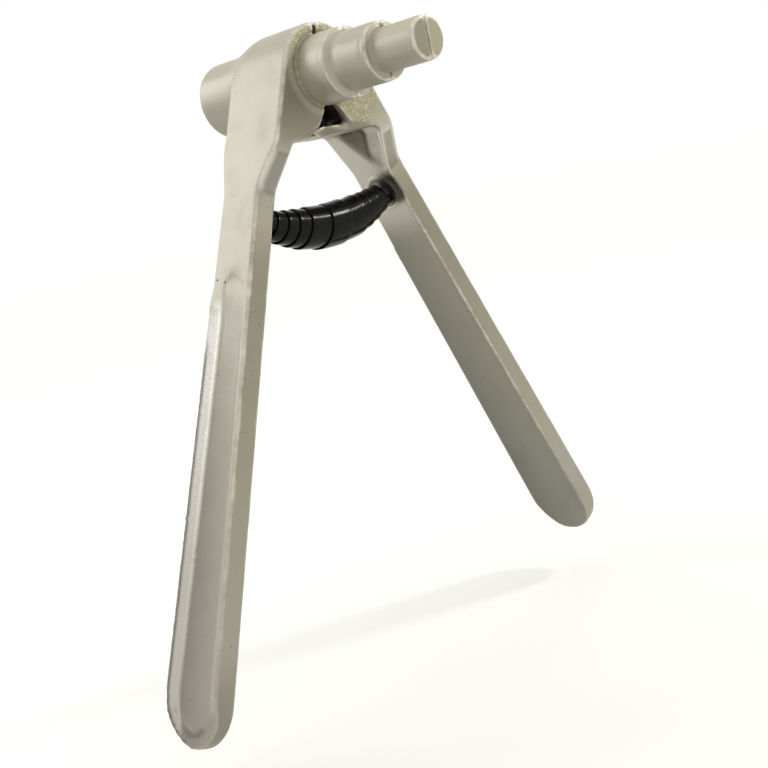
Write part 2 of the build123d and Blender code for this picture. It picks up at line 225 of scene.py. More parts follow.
def table_top():
    """A dull grey top that looks white, with a glow that is weaker near the tool."""
    material, tree, shader = new_material("table_top")
    seen = seen_share(tree)
    shader.inputs["Roughness"].default_value = FLOOR_ROUGHNESS
    shader.inputs["Specular IOR Level"].default_value = 0.0
    shade = blend_colours(tree, seen, FLOOR_GREY, FLOOR_PALE)
    tree.links.new(shade, shader.inputs["Base Color"])
    scaling = {"Vector": object_place(tree), "Scale": (1 / GLOW_RADIUS,) * 3}
    scaled = add_node(tree, "ShaderNodeMapping", scaling).outputs["Vector"]
    near = add_node(tree, "ShaderNodeTexGradient", {"Vector": scaled}, gradient_type="SPHERICAL")
    strength = maths(tree, "MULTIPLY_ADD", near.outputs["Fac"], GLOW_NEAR - GLOW_FAR, GLOW_FAR)
    glow = add_node(tree, "ShaderNodeEmission", {"Strength": maths(tree, "MULTIPLY", seen, strength)})
    both = add_node(tree, "ShaderNodeAddShader", {0: shader.outputs[0], 1: glow.outputs[0]})
    tree.links.new(both.outputs[0], tree.nodes["Material Output"].inputs["Surface"])
    return material


bpy.ops.mesh.primitive_plane_add(size=FLOOR_SIZE, location=(0, 0, FLOOR_HEIGHT))
floor = bpy.context.object
floor.name = "floor"
floor.data.materials.append(table_top())
print("floor at", round(FLOOR_HEIGHT / MM, 1), "mm")

# %% [markdown]
# The light could come from one large lamp, but then the satin coat would look like chalk. A broad
# soft box behind the left handle makes the coat shine on the rear bevel and near the head, one above
# fills the crown, and a small, warm one in front of the right handle draws the bright streaks on the
# black spring.

# %% Lamps
LAMPS = {
    "back_left": {
        "place": (-0.26, 0.50, 0.24),
        "target": (-0.03, 0.0, -0.04),
        "size": 0.34,
        "power": 0.92,
        "colour": (0.90, 0.92, 1.0),
    },
    "front_right": {
        "place": (0.40, -0.287, 0.289),
        "target": (0.0, 0.013, -0.042),
        "size": 0.08,
        "power": 0.78,
        "colour": (1.0, 0.96, 0.80),
    },
    "top_back": {
        "place": (-0.05, 0.22, 0.55),
        "target": (0.0, 0.01, 0.0),
        "size": 0.30,
        "power": 0.36,
        "colour": (1.0, 0.94, 0.76),
    },
}


def area_lamp(name, place, target, size, power, colour):
    """A square soft box at a place, turned to a target."""
    data = bpy.data.lights.new(name, "AREA")
    data.size = size
    data.energy = power
    data.color = colour
    lamp = bpy.data.objects.new(name, data)
    scene.collection.objects.link(lamp)
    lamp.location = place
    lamp.rotation_euler = (Vector(target) - Vector(place)).to_track_quat("-Z", "Y").to_euler()


for name, settings in LAMPS.items():
    area_lamp(name, **settings)
print("lamps:", list(LAMPS))

# %% [markdown]
# ## The castings
#
# Each handle is one casting, from the grip to the mandrel half. The handles stand at an angle, so a
# place on one is easiest to give along the handle: how far down it, how far out from the mandrel's
# axis, and how far to the rear. Soft ramps turn such a measure into a share from nought to one.

# %% Places on a handle
HANDLE_ANGLE = math.radians(23.8)
OUTER_OFFSET = 14.0 * MM
INNER_OFFSET = 8.1 * MM
RIDGE_DEPTH = 15.25 * MM
RIDGE_SLOPE = 0.0237


def handle_axes(side):
    """The directions outwards and down of a handle."""
    hand = -1 if side == "left" else 1
    outwards = np.array((hand * math.cos(HANDLE_ANGLE), 0, math.sin(HANDLE_ANGLE)))
    down = np.array((hand * math.sin(HANDLE_ANGLE), 0, -math.cos(HANDLE_ANGLE)))
    return outwards, down


def on_handle(side, offset, distance, rearward):
    """A point on a handle: out from the mandrel axis, down the handle and to the rear."""
    outwards, down = handle_axes(side)
    return outwards * offset + down * distance + np.array((0, rearward, 0))


def ramp(values, low, high):
    """Nought up to low, one from high, and straight between."""
    return np.clip((values - low) / (high - low), 0, 1)


def soft_ramp(values, low, high):
    """Nought up to low, one from high, and an easy curve between."""
    share = ramp(values, low, high)
    return share * share * (3 - 2 * share)


def soft_band(values, start, end):
    """One between a soft start and a soft end, and nought outside them."""
    return soft_ramp(values, *start) * (1 - soft_ramp(values, *end))


def hump(values, width):
    """One at nought, falling away softly to both sides."""
    return np.exp(-((values / width) ** 2))


print("left handle points outwards, down:", *[axis.round(3) for axis in handle_axes("left")])

# %% [markdown]
# A casting has no sharp edge and no truly flat face. Bevels could soften the edges of the CAD mesh,
# but its long, thin triangles don't take them well. So a copy of that mesh is joined up and covered by
# an even skin of small cells, a voxel remesh, which can be smoothed and measured everywhere alike.

# %% Even skin
VOXEL = 0.45 * MM
JOIN_DISTANCE = 0.001 * MM
SOFT_FACTOR = 0.5


def joined_copy(node_name):
    """The mesh of a CAD node, with its loose triangles joined up."""
    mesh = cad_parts[node_name].data.copy()
    shell = bmesh.new()
    shell.from_mesh(mesh)
    bmesh.ops.remove_doubles(shell, verts=shell.verts, dist=JOIN_DISTANCE)
    shell.to_mesh(mesh)
    shell.free()
    return mesh


def even_skin(piece, steps):
    """Give a closed piece an even skin of small cells, smoothed in some steps."""
    cells = piece.modifiers.new("cells", "REMESH")
    cells.mode = "VOXEL"
    cells.voxel_size = VOXEL
    soft = piece.modifiers.new("soft", "SMOOTH")
    soft.factor = SOFT_FACTOR
    soft.iterations = steps
    evaluated = piece.evaluated_get(bpy.context.evaluated_depsgraph_get())
    skin = bpy.data.meshes.new_from_object(evaluated)
    piece.modifiers.clear()
    piece.data = skin
    skin.materials.clear()
    skin.polygons.foreach_set("use_smooth", [True] * len(skin.polygons))


def vertex_arrays(mesh):
    """Places, normals and edges of a mesh, as arrays."""
    places = np.empty(len(mesh.vertices) * 3)
    mesh.vertices.foreach_get("co", places)
    normals = np.empty(len(mesh.vertices) * 3)
    mesh.vertices.foreach_get("normal", normals)
    edges = np.empty(len(mesh.edges) * 2, dtype=np.int32)
    mesh.edges.foreach_get("vertices", edges)
    return places.reshape(-1, 3), normals.reshape(-1, 3), edges.reshape(-1, 2)


def place_vertices(piece, places):
    """Put the vertices of a piece in new places."""
    piece.data.vertices.foreach_set("co", places.ravel())
    piece.data.update()


castings = {}
for side in ("left", "right"):
    piece = bpy.data.objects.new(side + "_casting", joined_copy(side + "_handle"))
    scene.collection.objects.link(piece)
    even_skin(piece, 0)
    castings[side] = piece
    print(piece.name, len(piece.data.polygons), "faces in the first skin")

# %% [markdown]
# The photograph shows a few forms that are softer or smaller than in the solids. Two are on the head:
# the crown runs down to the boss in one curve, and the spring holds the mandrel halves nearly closed.
# They could be sculpted by hand. Here each is a short rule that moves the vertices of the skin, so that
# both castings get the same form.

# %% Crown and split
HEAD_RADIUS = 14.3 * MM
HEAD_DEPTH = 24.6 * MM
CROWN_DROP = 0.7 * MM
BOSS_RADIUS = 11.1 * MM
BOSS_CORE = 0.8
EASED_BOSS_RADIUS = 11.4 * MM
EASE_START = 18.0 * MM
EASE_END = 33.0 * MM
EASE_FULL = math.radians(50)
EASE_NONE = math.radians(85)
SPLIT_FACE = 0.3 * MM
SPLIT_SHARE = 0.15


def ease_crown(places):
    """Let the round top of the head run down to the boss in one easy curve."""
    x, y, z = places.T
    height = z + CROWN_DROP
    radius = np.hypot(x, height)
    share = 1 - soft_ramp(np.arctan2(np.abs(x), height), EASE_FULL, EASE_NONE)
    goal = HEAD_RADIUS + (EASED_BOSS_RADIUS - HEAD_RADIUS) * soft_ramp(y, EASE_START, EASE_END)
    is_skin = (y > EASE_START) & (radius > np.where(y < HEAD_DEPTH, 1.0, BOSS_CORE) * BOSS_RADIUS)
    rise = goal - np.maximum(radius, BOSS_RADIUS)
    growth = 1 + share * is_skin * rise / np.maximum(radius, MM)
    places[:, 0] = x * growth
    places[:, 2] = height * growth - CROWN_DROP


def close_split(places):
    """Bring the two halves of the mandrel nearly together, as the spring does."""
    in_split = (np.abs(places[:, 0]) < SPLIT_FACE) & (places[:, 1] < -VOXEL)
    places[in_split, 0] *= SPLIT_SHARE


for piece in castings.values():
    places, normals, edges = vertex_arrays(piece.data)
    ease_crown(places)
    close_split(places)
    place_vertices(piece, places)
    print(piece.name, "crown at", round(places[:, 2].max() / MM, 2), "mm")

# %% [markdown]
# Two more are on the grip: its panel starts shallow and deepens, and the rear corner at its end is well
# rounded, most of all on the inner face. A bevel could round that corner, but not more on one face than
# on the other. All these moves stretch the cells, so a second skin evens them out and is smoothed.

# %% Panel and end
PANEL_DEPTH = 0.5 * MM
PANEL_FACING = 0.3
FADE = (59.5 * MM, 78.0 * MM)
FADE_FIRST = 0.35
END_CURVE = 170.0 * MM
END_LENGTH = 18.3 * MM
END_MIDDLE = 14.5 * MM
END_DEPTHS = (10.8 * MM, 12.1 * MM)
END_FLARE = (INNER_OFFSET, OUTER_OFFSET - 1.5 * MM)
END_SQUARE = (INNER_OFFSET + 1.0 * MM, OUTER_OFFSET - 1.0 * MM)
SOFT_STEPS = 3


def fade_panel(places, normals, side):
    """Let the panel of the grip start shallow and reach its full depth further down."""
    outwards, down = handle_axes(side)
    distance = places @ down
    drop = OUTER_OFFSET - places @ outwards
    depth = PANEL_DEPTH * (FADE_FIRST + (1 - FADE_FIRST) * soft_ramp(distance, *FADE))
    in_panel = (distance > FADE[0]) & (distance < FADE[1]) & (drop < 2 * PANEL_DEPTH)
    in_panel &= normals @ outwards > PANEL_FACING
    in_panel &= places[:, 1] < RIDGE_DEPTH + RIDGE_SLOPE * distance
    places += outwards * (in_panel * np.maximum(drop - depth, 0))[:, None]


def round_end(places, side):
    """Round the rear corner at the end of the handle, on the inner face more than on the outer."""
    outwards, down = handle_axes(side)
    offset = places @ outwards
    along = places @ down - END_CURVE
    across = places[:, 1] - END_MIDDLE
    depth = END_DEPTHS[0] + (END_DEPTHS[1] - END_DEPTHS[0]) * ramp(offset, *END_FLARE)
    is_corner = (along > 0) & (across > 0)
    reach = np.where(is_corner, np.hypot(along / END_LENGTH, across / depth), 1.0)
    pull = (1 - soft_ramp(offset, *END_SQUARE)) * (1 - 1 / np.maximum(reach, 1.0))
    places -= down * (pull * along)[:, None]
    places[:, 1] -= pull * across


for side, piece in castings.items():
    places, normals, edges = vertex_arrays(piece.data)
    fade_panel(places, normals, side)
    round_end(places, side)
    place_vertices(piece, places)
    even_skin(piece, SOFT_STEPS)
    print(piece.name, len(piece.data.polygons), "faces in the second skin")

# %% [markdown]
# The sand of the mould leaves a shallow waviness, which a slow noise gives. The same skin then tells how
# much each point sticks out or lies in a corner: its place is compared with the mean of the places round
# it. Both are stored in attributes, which the finish uses for wear with a painted highlight on the edges,
# and for soil with painted shade in the corners. The dressed casting replaces the plain one and rides on
# the same body.

# %% Waves and edges
WAVE_SIZE = 7.0 * MM
WAVE_DEPTH = 0.05 * MM
EDGE_SPREAD = 8
BEND_SPREAD = 2


def neighbour_mean(values, edges):
    """The mean of each vertex's neighbours."""
    total = np.zeros_like(values)
    count = np.zeros(len(values))
    for here, there in ((0, 1), (1, 0)):
        np.add.at(total, edges[:, here], values[edges[:, there]])
        np.add.at(count, edges[:, here], 1)
    count = np.maximum(count, 1)
    return total / (count[:, None] if values.ndim > 1 else count)


def wave_skin(piece):
    """Push the skin in by a shallow, slow noise, as a casting is never quite flat."""
    places, normals, edges = vertex_arrays(piece.data)
    depth = np.array([noise.noise(Vector(place) / WAVE_SIZE) for place in places])
    place_vertices(piece, places + normals * ((depth - 1) / 2 * WAVE_DEPTH)[:, None])


def store(piece, name, values):
    """Keep one number for each vertex, for the finish to read."""
    layer = piece.data.attributes.new(name, "FLOAT", "POINT")
    layer.data.foreach_set("value", values.astype(np.float32))


def mark_edges(piece):
    """Store how far each vertex sticks out (edge) or lies in a corner (corner), up to one."""
    places, normals, edges = vertex_arrays(piece.data)
    flat = places.copy()
    for step in range(EDGE_SPREAD):
        flat = neighbour_mean(flat, edges)
    bend = np.einsum("ij,ij->i", places - flat, normals) / VOXEL
    for step in range(BEND_SPREAD):
        bend = neighbour_mean(bend, edges)
    store(piece, "edge", np.clip(bend, 0, 1))
    store(piece, "corner", np.clip(-bend, 0, 1))
    return bend


for side, piece in castings.items():
    wave_skin(piece)
    bend = mark_edges(piece)
    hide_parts(side + "_handle")
    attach(piece, side + "_half")
    print(piece.name, "bend", np.percentile(bend, (1, 50, 99)).round(2))

# %% [markdown]
# ## Marks of making and use, and painted light and shade
#
# Some places on the castings differ from the rest: blasted or bare ones, and many where light and shade
# are painted into the colour, as highlights, shadows, and paler or darker faces. A painted picture could
# show them, but it would need a flat map of the skin. Instead, each kind of mark is one more number for
# each vertex, from where the vertex lies on the handle and which way it faces.

# %% Measures of the skin
FRONT_FACE = (0.5, 0.8)
FLAT_FACE = (0.8, 0.95)


class CastSkin:
    """The skin of one casting, measured along, across and out of its handle."""

    def __init__(self, piece, side):
        self.piece = piece
        self.side = side
        self.is_left = side == "left"
        self.places, normals, self.edges = vertex_arrays(piece.data)
        outwards, down = handle_axes(side)
        self.x, self.y, self.z = self.places.T
        self.round_axis = np.hypot(self.x, self.z)
        self.distance = self.places @ down
        self.drop = OUTER_OFFSET - self.places @ outwards
        self.sunk = self.places @ outwards - INNER_OFFSET
        self.behind_ridge = self.y - (RIDGE_DEPTH + RIDGE_SLOPE * self.distance)
        self.facing_side = np.abs(normals[:, 0])
        self.facing_front = -normals[:, 1]
        self.facing_out = normals @ outwards
        self.facing_down = normals @ down
        self.on_front = ramp(self.facing_front, *FRONT_FACE)
        self.on_outer = ramp(self.facing_out, *FLAT_FACE)
        self.on_inner = ramp(-self.facing_out, *FLAT_FACE)

    def keep(self, marks):
        """Store marks, each softened a little, and say how many vertices have them."""
        for name, values in marks.items():
            store(self.piece, name, neighbour_mean(values.astype(float), self.edges))
        counts = {name: int((values > 0.5).sum()) for name, values in marks.items()}
        print(self.piece.name, "marked:", counts)


skins = [CastSkin(piece, side) for side, piece in castings.items()]
for skin in skins:
    print(skin.side, "handle reaches", round(skin.distance.max() / MM, 1), "mm down")

# %% [markdown]
# A ring round the mandrel and the front of the right half of the head were left as they came out of
# the blast cabinet. The end of the mandrel is bare metal. The hinge and the split get painted shade, a
# near-black colour where shade falls deep inside them, strongest in the split at the front of the head.

# %% Marks on the head
BLASTED_RADIUS = {"left": 13.4 * MM, "right": 21.0 * MM}
BLASTED_REACH = 1.5 * MM
BLASTED_LOW = 0.1
BLASTED_RISE = (5.0 * MM, 11.0 * MM)
MANDREL_END = cad_box[0][1] + 1.0 * MM
BARE_SHARE = {"left": 0.4, "right": 1.0}
HINGE_WIDTH = 8.5 * MM
HINGE_TOP = -7.2 * MM
HINGE_FLOOR = -15.3 * MM
HINGE_DEPTH = 24.0 * MM
GAP_SHADE_START = {"left": (3.0 * MM, 6.0 * MM), "right": (1.6 * MM, 3.4 * MM)}
SPLIT_WIDTH = 0.65 * MM
SPLIT_FACING = (0.6, 0.9)
SPLIT_SHADE_BASE = 0.1
SPLIT_SHADE_GAIN = 0.75
SPLIT_SHADE_GAIN_AT = (-1.5 * MM, 0.5 * MM)
SPLIT_SHADE_LOSS = 0.4
SPLIT_SHADE_LOSS_AT = (4.0 * MM, 10.0 * MM)


def head_marks(skin):
    """The blasted front of the head, the bare end of the mandrel and the painted shade in the hinge and
    split.
    """
    near_front = np.abs(skin.y) < BLASTED_REACH
    blasted = skin.on_front * near_front * (skin.round_axis < BLASTED_RADIUS[skin.side])
    # On the left ring the blasted finish and its painted sparkle are kept mostly to the top, where light
    # falls.
    if skin.is_left:
        blasted = blasted * (BLASTED_LOW + (1 - BLASTED_LOW) * ramp(skin.z, *BLASTED_RISE))
    # Painted shade: the hinge and the split are coloured near black, where shade falls inside them.
    in_hinge = (np.abs(skin.x) < HINGE_WIDTH) & (skin.y < HINGE_DEPTH)
    in_hinge = in_hinge & (skin.z < HINGE_TOP) & (skin.z > HINGE_FLOOR)
    in_split = (np.abs(skin.x) < SPLIT_WIDTH) * ramp(skin.facing_side, *SPLIT_FACING)
    # film: the painted shade in the split, strongest just behind the front of the head
    film = SPLIT_SHADE_BASE + SPLIT_SHADE_GAIN * soft_ramp(skin.y, *SPLIT_SHADE_GAIN_AT)
    film = film - SPLIT_SHADE_LOSS * soft_ramp(skin.y, *SPLIT_SHADE_LOSS_AT)
    return {
        "blasted": blasted,
        "bare": skin.on_front * (skin.y < MANDREL_END) * BARE_SHARE[skin.side],
        "gap_shade": np.maximum(in_hinge * ramp(skin.y, *GAP_SHADE_START[skin.side]), in_split * film),
    }


for skin in skins:
    skin.keep(head_marks(skin))

# %% [markdown]
# Beside each seat of the spring a painted shadow of the spring darkens the inner face. The faces of the
# cored pocket that look to the front, and the crease along them, get painted shade. A noise would put
# such marks anywhere. These marks belong to their places, so they come from the distance to a seat and
# from the way a face looks.

# %% Marks on the seats and in the pocket
SHADOW_DISTANCE = 43.8 * MM
SHADOW_DEPTH = 8.2 * MM
SHADOW_SIZE = (3.0 * MM, 7.2 * MM)
SHADOW_FACING = (0.2, 0.6)
SEAT_NUB = 0.1 * MM
POCKET_END = 38.0 * MM
POCKET_FACING = 0.3
POCKET_DEPTH = 4.2 * MM
POCKET_EDGE = (0.4 * MM, 1.0 * MM)
POCKET_FRONT = 1.0 * MM
POCKET_FLOOR = (0.15, 0.35)
CREASE_SHARE = 0.9
CREASE_FACING = 0.25
CREASE_WIDTH = 0.12


def pocket_share(skin):
    """One in the cored pocket of the inner face, and nought outside it."""
    inside = (skin.distance < POCKET_END) & (skin.facing_out < POCKET_FACING)
    inside = inside & (skin.sunk < POCKET_DEPTH) & (skin.y > POCKET_FRONT) & (skin.z < HINGE_FLOOR)
    return inside * ramp(skin.sunk, *POCKET_EDGE)


def seat_marks(skin):
    """The painted shadow of the spring beside its seats and the painted shade in the pocket."""
    seat = on_handle(skin.side, INNER_OFFSET, SHADOW_DISTANCE, SHADOW_DEPTH)
    near_seat = 1 - soft_ramp(np.linalg.norm(skin.places - seat, axis=1), *SHADOW_SIZE)
    on_seat = np.maximum(ramp(-skin.facing_out, *SHADOW_FACING), skin.sunk < -SEAT_NUB)
    on_floor = ramp(skin.facing_front, *POCKET_FLOOR)
    crease = CREASE_SHARE * hump(skin.facing_front - CREASE_FACING, CREASE_WIDTH)
    return {
        # Painted shadow of the spring on the inner face beside its seat.
        "seat_shadow": near_seat * on_seat,
        # Painted shade in the pocket and along its crease.
        "pocket": pocket_share(skin) * (on_floor + crease),
    }


for skin in skins:
    skin.keep(seat_marks(skin))

# %% [markdown]
# The pocket's walls, the root of the inner face, the front of the neck, a sloping facet of the neck and
# the largest step of the mandrel are painted paler than the rest, as painted light. Each could have a
# mark of its own. They share one, because one pale tone covers them all.

# %% Pale faces: painted light
WALL_PALE = 0.8
ROOT_PALE = 0.7
ROOT_END = (46.0 * MM, 62.0 * MM)
ROOT_SUNK = 0.3 * MM
NECK_PALE = {"left": 0.15, "right": 0.75}
NECK_START = (20.0 * MM, 27.0 * MM)
NECK_END = (32.0 * MM, 40.0 * MM)
SLOPE_PALE = {"left": 1.1, "right": 0.3}
SLOPE_FRONT = (0.4, 0.6)
SLOPE_DOWN = (0.05, 0.2)
SLOPE_START = (25.0 * MM, 28.5 * MM)
SLOPE_END = 50.0 * MM
STEP_PALE = 0.25
STEP_START = -1.0 * MM
STEP_END = (12.0 * MM, 16.0 * MM)


def pale_marks(skin):
    """The faces between the mandrel and the grip that get painted light."""
    walls = WALL_PALE * pocket_share(skin) * (1 - ramp(skin.facing_front, *POCKET_FLOOR))
    root = ROOT_PALE * skin.on_inner * (skin.z < HINGE_FLOOR) * (skin.sunk < ROOT_SUNK)
    root = root * (1 - soft_ramp(skin.distance, *ROOT_END))
    neck = skin.on_front * soft_band(skin.distance, NECK_START, NECK_END)
    slope = ramp(skin.facing_front, *SLOPE_FRONT) * ramp(skin.facing_down, *SLOPE_DOWN)
    slope = slope * soft_ramp(skin.distance, *SLOPE_START) * (skin.distance < SLOPE_END)
    step = (skin.y < STEP_START) * (1 - ramp(-skin.y, *STEP_END))
    # Painted light on the walls, the root, the neck, the sloping facet and the largest step.
    pale = np.maximum(walls, root) + NECK_PALE[skin.side] * neck
    return {"pale": pale + SLOPE_PALE[skin.side] * slope + STEP_PALE * step}


for skin in skins:
    skin.keep(pale_marks(skin))

# %% [markdown]
# The rear bevel of each grip faces the light, so it is painted pale with a painted sparkle: painted
# light. The ridge beside it gets a painted highlight, and the rear rim painted shade. The coat also
# changes its tone slowly from the neck to the end of the grip, painted paler and greyer where the light
# is cooler. Such lines could be drawn by hand, but the distance from the ridge and from the rear edge
# puts them exactly there.

# %% Marks on the grips
ROW_HEIGHT = 1.0 * MM
OUTER_SIDE = 0.5
LIT_BEVEL_START = (66.0 * MM, 69.0 * MM)
LIT_BEVEL_LOSS = 0.75
LIT_BEVEL_LOSS_AT = (100.0 * MM, 150.0 * MM)
RIDGE_START = (66.0 * MM, 74.0 * MM)
RIDGE_WIDTH = 0.55 * MM
RIM_START = (74.0 * MM, 86.0 * MM)
RIM_WIDTH = (1.5 * MM, 2.5 * MM)
GRIP_TONE = (95.0 * MM, 175.0 * MM)


def from_rear_edge(skin):
    """How far each vertex lies in front of the rear edge of the outer face, row by row."""
    rows = np.round((skin.distance - skin.distance.min()) / ROW_HEIGHT).astype(int)
    edge = np.full(rows.max() + 1, skin.y.min())
    np.maximum.at(edge, rows, np.where(skin.facing_out > OUTER_SIDE, skin.y, skin.y.min()))
    return edge[rows] - skin.y


def grip_marks(skin):
    """The painted light on the bevel, the painted highlight on the ridge, the painted shade on the rear
    rim and the slow change of tone.
    """
    # Painted light on the rear bevel, which faces the light.
    lit_bevel = skin.on_outer * (skin.behind_ridge > 0) * soft_ramp(skin.distance, *LIT_BEVEL_START)
    # Painted highlight: a bright line along the ridge.
    ridge = skin.on_outer * hump(skin.behind_ridge, RIDGE_WIDTH)
    # Painted shade: a dark line along the rear edge of the outer face.
    rim = (1 - soft_ramp(from_rear_edge(skin), *RIM_WIDTH)) * (skin.facing_out > 0)
    return {
        "lit_bevel": lit_bevel * (1 - LIT_BEVEL_LOSS * soft_ramp(skin.distance, *LIT_BEVEL_LOSS_AT)),
        "ridge": ridge * soft_ramp(skin.distance, *RIDGE_START),
        "rim": rim * soft_ramp(skin.distance, *RIM_START),
        # Painted light: the coat turns paler and greyer towards the end of the grip, where the light is
        # cooler.
        "grip": soft_ramp(skin.distance, *GRIP_TONE),
    }


for skin in skins:
    skin.keep(grip_marks(skin))

# %% [markdown]
# The panel gets painted shade, most of it along the ridge and under the panel's end, where it makes a
# dark crescent. The left panel also starts with a dark smudge of painted shade. The shade painted into
# the corners can't give that much, so the floor of the panel, its end wall, the smudge and the crescent
# are added up in one mark.

# %% Painted shade in the panel
PANEL_START = 58.0 * MM
PANEL_DROP = (0.25 * MM, 0.4 * MM)
PANEL_FADE = 0.6
PANEL_WIDTH = 13.0 * MM
PANEL_FIRST = 0.6
PANEL_GAIN_AT = (75.0 * MM, 100.0 * MM)
WALL_SHADE = 1.3
WALL_START = 150.0 * MM
WALL_UP = (0.08, 0.3)
WALL_OUT = (0.3, 0.6)
SMUDGE_SHADE = 0.55
SMUDGE_PLACE = (60.3 * MM, 13.2 * MM)
SMUDGE_SIZE = (2.0 * MM, 3.4 * MM)
CRESCENT_SHADE = 0.85
CRESCENT_PLACE = (182.8 * MM, 12.9 * MM)
CRESCENT_TILT = 0.17
CRESCENT_BOW = 1.5 * MM
CRESCENT_HALF = 5.1 * MM
CRESCENT_WIDTH = 0.85 * MM
CRESCENT_TIPS = (3.6 * MM, 5.6 * MM)


def crescent_share(skin):
    """The dark crescent of painted shade under the rounded end of the panel."""
    across = skin.y - CRESCENT_PLACE[1]
    bow = CRESCENT_BOW * (1 - (across / CRESCENT_HALF) ** 2)
    line = CRESCENT_PLACE[0] + CRESCENT_TILT * across + bow
    length = 1 - soft_ramp(np.abs(across), *CRESCENT_TIPS)
    return hump(skin.distance - line, CRESCENT_WIDTH) * length * (skin.facing_out > OUTER_SIDE)


def panel_marks(skin):
    """The painted shade in the panel, on its end wall, in the smudge and in the crescent."""
    floor = skin.on_outer * (skin.behind_ridge < 0) * ramp(skin.drop, *PANEL_DROP)
    floor = floor * (skin.distance > PANEL_START)
    floor = floor * (1 - PANEL_FADE * ramp(-skin.behind_ridge, 0, PANEL_WIDTH))
    floor = floor * (PANEL_FIRST + (1 - PANEL_FIRST) * ramp(skin.distance, *PANEL_GAIN_AT))
    wall = ramp(-skin.facing_down, *WALL_UP) * ramp(skin.facing_out, *WALL_OUT)
    wall = WALL_SHADE * wall * (skin.distance > WALL_START)
    smudge = hump(skin.distance - SMUDGE_PLACE[0], SMUDGE_SIZE[0])
    smudge = smudge * hump(skin.y - SMUDGE_PLACE[1], SMUDGE_SIZE[1]) * skin.on_outer * skin.is_left
    # Painted shade, added up from the floor, the end wall, the smudge and the crescent.
    panel_shade = np.maximum(floor, wall) + SMUDGE_SHADE * smudge + CRESCENT_SHADE * crescent_share(skin)
    return {"panel": panel_shade}


for skin in skins:
    skin.keep(panel_marks(skin))

# %% [markdown]
# The front faces get painted shade, the left one more than the right and most on the left head, in
# the mandrel's shadow, and so do the inner faces and the underside of the boss. A darker coat would
# darken the rest too, so these faces have marks of their own, which start and fade along the handle.

# %% Painted shade on the front and inner faces
HEAD_END = (16.0 * MM, 30.0 * MM)
FRONT_START = {"left": (44.0 * MM, 64.0 * MM), "right": (32.0 * MM, 50.0 * MM)}
FRONT_FADE = (60.0 * MM, 170.0 * MM)
MANDREL_END_SHADE = 0.95
LOW_SHADE = {"left": 0.8, "right": 0.25}
LOW_FACING = (0.1, 0.5)
LOW_START = (158.0 * MM, 176.0 * MM)
INNER_START = (48.0 * MM, 66.0 * MM)
INNER_FIRST = 0.6
INNER_GAIN_AT = (8.0 * MM, 24.0 * MM)
BOSS_SHADE = 0.35
BOSS_START = (25.0 * MM, 27.0 * MM)
BOSS_UNDERSIDE = (-3.0 * MM, 10.0 * MM)


def face_marks(skin):
    """The painted shade on the front faces, the inner faces and the underside of the boss."""
    # Painted shade on the left head's front, in the mandrel's shadow, and on the front faces down the
    # handle.
    head = skin.is_left * (1 - soft_ramp(skin.distance, *HEAD_END))
    handle = soft_ramp(skin.distance, *FRONT_START[skin.side])
    handle = handle * (1 - ramp(skin.distance, *FRONT_FADE))
    is_front = (skin.y > -VOXEL) * (skin.round_axis > BLASTED_RADIUS[skin.side])
    end = MANDREL_END_SHADE * skin.is_left * skin.on_front * (skin.y < MANDREL_END)
    low = ramp(skin.facing_front, *LOW_FACING) * soft_ramp(skin.distance, *LOW_START)
    # Painted shade on the inner faces, more towards the rear, and under the boss.
    inner = skin.on_inner * soft_ramp(skin.distance, *INNER_START)
    inner = inner * (INNER_FIRST + (1 - INNER_FIRST) * ramp(skin.y, *INNER_GAIN_AT))
    boss = ramp(skin.y, *BOSS_START) * ramp(-skin.z, *BOSS_UNDERSIDE)
    return {
        "front": skin.on_front * is_front * (head + handle) + end + LOW_SHADE[skin.side] * low,
        "inner": inner + BOSS_SHADE * boss,
    }


for skin in skins:
    skin.keep(face_marks(skin))

# %% [markdown]
# The left grip has two small blow holes, where gas was caught in the casting. They could be drilled
# with booleans, but a press of a few vertices is enough for holes of this size. At last the outer face
# of each handle is brought out a little, from the neck to just above its end, to the outline that the
# photograph shows.

# %% Blow holes and outer faces
BLOW_HOLES = ((61.5 * MM, 20.1 * MM), (62.4 * MM, 16.4 * MM))
BLOW_HOLE_RADIUS = 0.55 * MM
BLOW_HOLE_DEPTH = 0.3 * MM
THICKER = 0.85 * MM
THICKER_FROM = (18.0 * MM, 36.0 * MM)
THICKER_TO = (172.0 * MM, 182.0 * MM)
THICKER_ACROSS = (INNER_OFFSET + 2.0 * MM, OUTER_OFFSET - 2.0 * MM)


def sink_holes(piece, centres):
    """Press small round holes into the skin and store how deep in a hole each vertex lies."""
    places, normals, edges = vertex_arrays(piece.data)
    hole = np.zeros(len(places))
    for centre in centres:
        distance = np.linalg.norm(places - centre, axis=1)
        hole = np.maximum(hole, 1 - ramp(distance, 0, BLOW_HOLE_RADIUS))
    place_vertices(piece, places - normals * (hole * BLOW_HOLE_DEPTH)[:, None])
    # The coat paints these holes dark inside: painted shade.
    store(piece, "hole", hole)
    return int((hole > 0).sum())


def thicken(piece, side):
    """Let the outer face of the handle stand out a little more."""
    places, normals, edges = vertex_arrays(piece.data)
    outwards, down = handle_axes(side)
    share = soft_band(places @ down, THICKER_FROM, THICKER_TO)
    share = share * ramp(places @ outwards, *THICKER_ACROSS)
    place_vertices(piece, places + outwards * (share * THICKER)[:, None])


left_holes = [on_handle("left", OUTER_OFFSET, *place) for place in BLOW_HOLES]
for side, piece in castings.items():
    sunk = sink_holes(piece, left_holes if side == "left" else [])
    thicken(piece, side)
    print(piece.name, "vertices in blow holes:", sunk)

